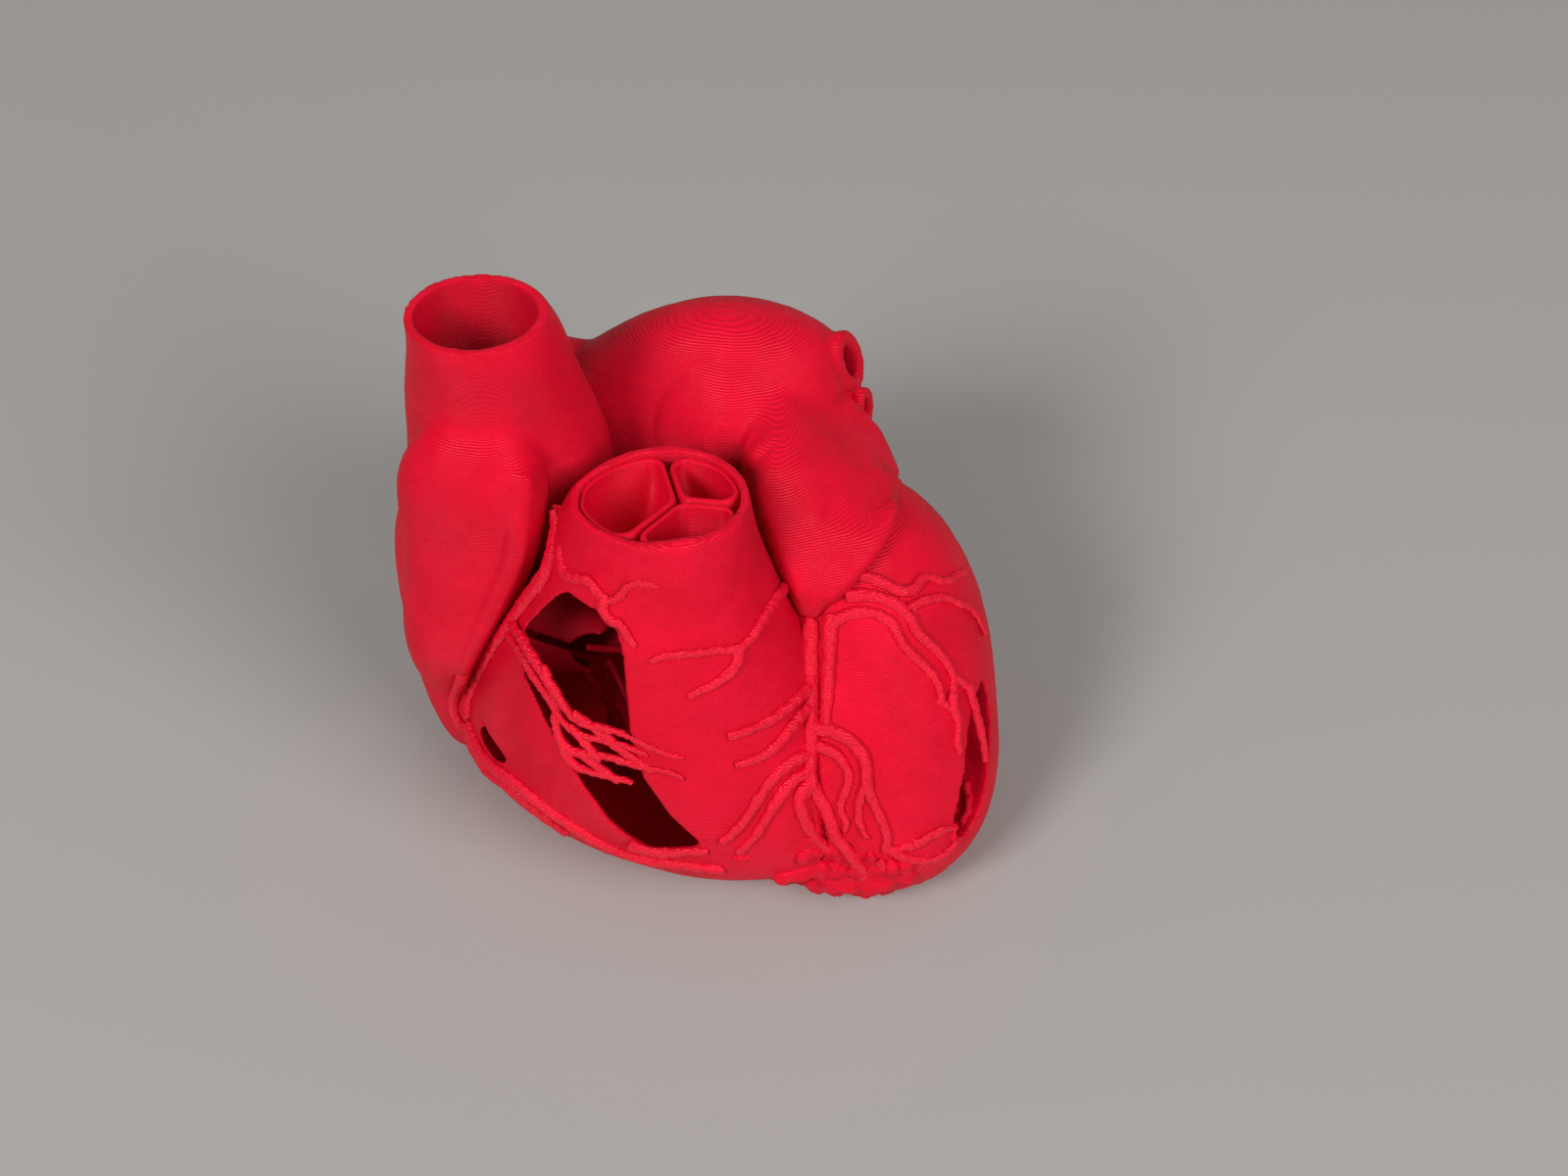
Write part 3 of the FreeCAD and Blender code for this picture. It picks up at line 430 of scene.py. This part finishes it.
for name, settings in skins.items():
    replaced = list(settings["nodes"])
    piece = copyOf(name, settings["nodes"])
    if "leaf" in settings:
        joinTo(piece, layLeaf(leafSettings))
        replaced.append("left_auricle")
    if "plug" in settings:
        deselect()
        bpy.ops.mesh.primitive_ico_sphere_add(**settings["plug"])
        bpy.ops.object.transform_apply(location=True)
        joinTo(piece, bpy.context.object)
    remesh(piece, settings["voxel"])
    soften(piece, settings["soften"])
    for touch in settings.get("touches", []):
        touchUp(piece, touch)
    if "seam" in settings:
        closeSeam(piece, **settings["seam"])
    lumps(piece, *settings["lump"])
    if "apex" in settings:
        # the rough foot of the print, where supports were broken off; its underside stays level
        apex = settings["apex"]
        centre = Vector(apex["at"])
        group = weigh(piece, lambda co: ramp((co - centre).length, apex["reach"], apex["reach"] / 2)
                      * ramp(co.z, *apex["foot"]))
        lumps(piece, *apex["lump"], depth=apex["depth"], middle=apex["middle"], group=group,
              contrast=apex["contrast"])
        piece.vertex_groups.clear()
    finishPiece(piece, skinPlastic, *replaced)
    print(name, len(piece.data.polygons), "faces")

# the vessels: strings of plastic that stand on the skins. Of each: its name, how much fuller it is, how far
# it moves across and up, and how its free end changes
vesselSettings = {"voxel": 0.00024, "soften": 2, "knots": (0.0011, 0.0005), "grain": (0.0004, 0.00016)}
vessels = {
    "right_coronary_artery": {
        "name": "rightCoronary", "fuller": 0.0001,
        "tip": {"at": (-0.0210, -0.0119, 0.0598), "reach": 0.0055, "swell": -0.0009, "full": 0.2}},
    "small_cardiac_vein": {"name": "smallCardiacVein"},
    "conus_artery": {"name": "conusBranch", "fuller": 0.0001},
    "left_conus_artery": {"name": "leftConusBranch", "fuller": 0.0001},
    "right_ventricular_arteries": {"name": "ventricularArteries", "fuller": 0.0002},
    "right_ventricular_veins": {"name": "ventricularVeins", "fuller": 0.0002},
    "right_marginal_artery": {"name": "rightMarginalArtery", "fuller": -0.0001, "nudge": (-0.0006, -0.0004)},
    "right_marginal_vein": {"name": "rightMarginalVein", "fuller": -0.0001},
    "lower_marginal_vessels": {"name": "lowerMarginalStrands", "fuller": -0.0001, "nudge": (0, 0.0005)},
    "acute_margin_artery": {"name": "acuteMarginArtery", "fuller": 0.0002},
    "acute_margin_vein": {"name": "acuteMarginVein", "fuller": 0.0002},
    "anterior_descending_artery": {"name": "anteriorDescending", "fuller": 0.00035},
    "great_cardiac_vein": {"name": "greatCardiacVein", "fuller": 0.00035},
    "diagonal_artery": {"name": "diagonalArtery", "fuller": 0.0001},
    "diagonal_vein": {"name": "diagonalVein"},
    "apical_vessels": {"name": "apicalStrands"},
    "obtuse_marginal_artery": {"name": "obtuseMarginalArtery", "fuller": 0.0001},
    "obtuse_marginal_vein": {"name": "obtuseMarginalVein", "fuller": 0.0001},
    "lateral_vein": {"name": "lateralVein"},
    "window_crossing_vein": {"name": "windowCrossingVein"},
    "circumflex_artery": {"name": "circumflex"},
    "coronary_sinus": {
        "name": "coronarySinus",
        "tip": {"at": (0.0350, 0.0185, 0.0360), "reach": 0.014, "move": (-0.0016, -0.0024, 0.0004),
                "steps": 300, "full": 0.25}},
    "posterior_descending_artery": {"name": "posteriorDescending"},
    "middle_cardiac_vein": {"name": "middleCardiacVein"},
}
for node, settings in vessels.items():
    piece = copyOf(settings["name"], [node])
    for axis, amount in zip("XZ", settings.get("nudge", ())):
        if amount:
            shift(piece, axis, amount)
    if "fuller" in settings:
        shift(piece, "NORMAL", settings["fuller"])
    remesh(piece, vesselSettings["voxel"])
    if "tip" in settings:
        touchUp(piece, settings["tip"])
    soften(piece, vesselSettings["soften"])
    lumps(piece, *vesselSettings["knots"])
    lumps(piece, *vesselSettings["grain"])
    finishPiece(piece, stringPlastic, node)
print("vessels ready:", len(vessels))

# short links: some tie the strands over the window together, the others join vessels on the wall
linkSettings = {
    "radius": 0.00075, "beads": 18, "voxel": 0.00024, "soften": 3, "strandSink": 0.0006, "wallSink": 0.0001,
    "strands": [((-22.4, 13.2), (-20.3, 7.0)), ((-17.6, 6.3), (-11.8, 2.1)), ((-18.2, 4.1), (-14.2, -0.5)),
                ((-12.8, 2.3), (-6.2, -2.1)), ((-16.6, -0.2), (-11.4, -3.9))],
    "walls": [((40.8, 11.6), (40.5, 8.4)), ((40.8, 11.6), (42.9, 10.0)), ((31.2, -15.2), (34.6, -14.6)),
              ((21.2, 4.6), (18.4, 3.6)), ((38.4, 7.9), (40.4, 6.6))],
}


def beadChain(start, end, guide, sink, straight):
    # straight from strand to strand, or else along the wall
    beads = []
    for step in range(linkSettings["beads"]):
        share = step / (linkSettings["beads"] - 1)
        if straight:
            place = onWall(*start, -sink, guide).lerp(onWall(*end, -sink, guide), share)
        else:
            place = onWall(*[a + (b - a) * share for a, b in zip(start, end)], -sink, guide)
        deselect()
        bpy.ops.mesh.primitive_ico_sphere_add(subdivisions=2, radius=linkSettings["radius"], location=place)
        bpy.ops.object.transform_apply(location=True)
        beads.append(bpy.context.object)
    return beads


strands = guideOf("right_marginal_artery", "right_marginal_vein", "lower_marginal_vessels")
beads = []
for start, end in linkSettings["strands"]:
    beads += beadChain(start, end, strands, linkSettings["strandSink"], True)
for start, end in linkSettings["walls"]:
    beads += beadChain(start, end, walls, linkSettings["wallSink"], False)
joinTo(*beads)
ties = bpy.context.object
ties.name = "vesselLinks"
remesh(ties, linkSettings["voxel"])
soften(ties, linkSettings["soften"])
lumps(ties, *vesselSettings["knots"])
lumps(ties, *vesselSettings["grain"])
finishPiece(ties, stringPlastic)

# the rough foot where the two ventricles meet: crumbs of plastic, each at a place with its radius
crumbSettings = {
    "voxel": 0.00035, "soften": 26, "lump": (0.0036, 0.0016), "depth": 3, "contrast": 1.3,
    "sink": 0.0002,  # a fifth of the radius
    "places": [
        (12, -21.0, 2.0), (14.5, -21.6, 2.4), (17, -21.5, 2.5), (19.5, -21.1, 2.5),
        (22, -20.9, 2.3), (24.5, -20.9, 2.1), (27.5, -20.7, 2.1), (30.5, -20.3, 1.9), (33.4, -19.6, 1.7),
        (14, -19.6, 1.7), (16.8, -19.2, 2.0), (19.6, -18.6, 2.0), (22.4, -18.6, 1.8), (25.4, -19, 1.7),
        (28.2, -18.6, 1.6), (31, -18.2, 1.5), (33.6, -17.6, 1.4), (17.2, -16.4, 1.5), (19.6, -15.6, 1.3),
        (22.6, -16, 1.2), (25.2, -16.2, 1.2), (28, -16.4, 1.2), (30.6, -16, 1.0), (18, -14, 0.9),
        (6.6, -16.3, 0.7), (7.9, -16.6, 0.8), (9.3, -16.3, 0.7), (31.6, -15, 0.9), (33.1, -14.3, 0.8),
        (34.6, -13.7, 0.8), (36.6, -16.6, 0.9), (38.6, -15.9, 0.9), (40.6, -13.8, 0.9), (40.9, -12, 0.9),
        (41.4, -10, 0.8), (18.8, -10.2, 0.9), (19.2, -12, 1.1), (19.2, -14, 1.1), (43.3, -6.4, 1.2),
        (43.9, -8.2, 1.2), (43.5, -10.2, 1.2), (42.6, -11.6, 1.1)],
}
crumbs = []
for across, up, radius in crumbSettings["places"]:
    deselect()
    bpy.ops.mesh.primitive_ico_sphere_add(subdivisions=3, radius=radius / 1000,
                                          location=onWall(across, up, -crumbSettings["sink"] * radius))
    bpy.ops.object.transform_apply(location=True)
    crumbs.append(bpy.context.object)
joinTo(*crumbs)
foot = bpy.context.object
foot.name = "apexCrumbs"
remesh(foot, crumbSettings["voxel"])
soften(foot, crumbSettings["soften"])
lumps(foot, *crumbSettings["lump"], depth=crumbSettings["depth"], contrast=crumbSettings["contrast"])
finishPiece(foot, skinPlastic)
print("crumbs ready:", len(foot.data.polygons), "faces")

# pieces of the print that keep to their own node: name, voxel, finish; the inner pieces take the darker copy
# of the plastic, which is painted shade
singleSettings = {"soften": 3}
cupTouches = {
    "right_pulmonary_cusp": {"at": (-0.0165, -0.013, 0.060), "reach": 0.012, "move": (-0.0018, 0, 0)},
}
alone = {
    "ventricular_septum": ("septumWall", 0.0005, shadedInsidePlastic),
    "inferior_vena_cava": ("lowerCaval", 0.0004, skinPlastic),
    "aortic_root": ("aorticRoot", 0.0004, skinPlastic),
    "aortic_cusps": ("aorticCups", 0.0003, thinPlastic),
    "right_pulmonary_cusp": ("rightPulmonaryCup", 0.00025, thinPlastic),
    "left_pulmonary_cusp": ("leftPulmonaryCup", 0.00025, thinPlastic),
    "front_pulmonary_cusp": ("frontPulmonaryCup", 0.00025, thinPlastic),
    "tricuspid_ring": ("tricuspidRing", 0.0004, shadedInsidePlastic),
    "mitral_ring": ("mitralRing", 0.0004, shadedInsidePlastic),
    "anterior_tricuspid_leaflet": ("anteriorTricuspidLeaflet", 0.0003, shadedInsidePlastic),
    "posterior_tricuspid_leaflet": ("posteriorTricuspidLeaflet", 0.0003, shadedInsidePlastic),
    "septal_tricuspid_leaflet": ("septalTricuspidLeaflet", 0.0003, shadedInsidePlastic),
    "anterior_mitral_leaflet": ("anteriorMitralLeaflet", 0.0003, shadedInsidePlastic),
    "posterior_mitral_leaflet": ("posteriorMitralLeaflet", 0.0003, shadedInsidePlastic),
    "anterior_papillary_muscle": ("anteriorPapillary", 0.0004, shadedInsidePlastic),
    "posterior_papillary_muscle": ("posteriorPapillary", 0.0004, shadedInsidePlastic),
    "septal_papillary_muscle": ("septalPapillary", 0.0004, shadedInsidePlastic),
    "anterolateral_papillary_muscle": ("anterolateralPapillary", 0.0004, shadedInsidePlastic),
    "posteromedial_papillary_muscle": ("posteromedialPapillary", 0.0004, shadedInsidePlastic),
    "moderator_band": ("moderatorBand", 0.0004, shadedInsidePlastic),
    "tricuspid_chordae": ("tricuspidStrings", 0.00025, shadedInsidePlastic),
    "mitral_chordae": ("mitralStrings", 0.00025, shadedInsidePlastic),
}
for node, (name, voxel, material) in alone.items():
    piece = copyOf(name, [node])
    remesh(piece, voxel)
    soften(piece, singleSettings["soften"])
    if node in cupTouches:
        touchUp(piece, cupTouches[node])
    finishPiece(piece, material, node)
print("single pieces ready:", len(alone))

# camera, at the height and distance of a desk view
camera = bpy.data.objects.new("camera", bpy.data.cameras.new("camera"))
bpy.context.scene.collection.objects.link(camera)
camera.data.sensor_width = view["sensor"]
camera.data.lens = view["focal"] / view["imageWidth"] * view["sensor"]
camera.data.clip_start, camera.data.clip_end = view["clip"]
camera.location = Vector(view["target"]) + towards * view["distance"]
camera.rotation_euler = (math.pi / 2 - tilt, 0, 0)
bpy.context.scene.camera = camera

# floor and light
floorSettings = {"size": 8, "colour": (0.42, 0.405, 0.39, 1), "rough": 0.9}
deselect()
bpy.ops.mesh.primitive_plane_add(size=floorSettings["size"], location=(0, 0, 0))
floor = bpy.context.object
floor.name = "floor"
floorPaper = bpy.data.materials.new("floorPaper")
floorPaper.use_nodes = True
paperShader = floorPaper.node_tree.nodes["Principled BSDF"]
paperShader.inputs["Base Color"].default_value = floorSettings["colour"]
paperShader.inputs["Roughness"].default_value = floorSettings["rough"]
floor.data.materials.append(floorPaper)

skySettings = {"colour": (1, 0.99, 0.97, 1), "strength": 0.22}
lamps = {
    "left": {"at": (-0.95, -1.20, 1.05), "size": 0.6, "power": 22.5},
    "right": {"at": (1.15, -1.25, 1.02), "size": 1.2, "power": 26},
}
lampTarget = Vector((0, 0, 0.03))
for name, settings in lamps.items():
    lamp = bpy.data.objects.new(name, bpy.data.lights.new(name, "AREA"))
    lamp.data.shape = "SQUARE"
    lamp.data.size = settings["size"]
    lamp.data.energy = settings["power"]
    lamp.location = settings["at"]
    lamp.rotation_euler = (lampTarget - lamp.location).to_track_quat("-Z", "Y").to_euler()
    bpy.context.scene.collection.objects.link(lamp)
world = bpy.data.worlds.new("studio")
world.use_nodes = True
world.node_tree.nodes["Background"].inputs["Color"].default_value = skySettings["colour"]
world.node_tree.nodes["Background"].inputs["Strength"].default_value = skySettings["strength"]
bpy.context.scene.world = world
print("camera, floor and light ready")
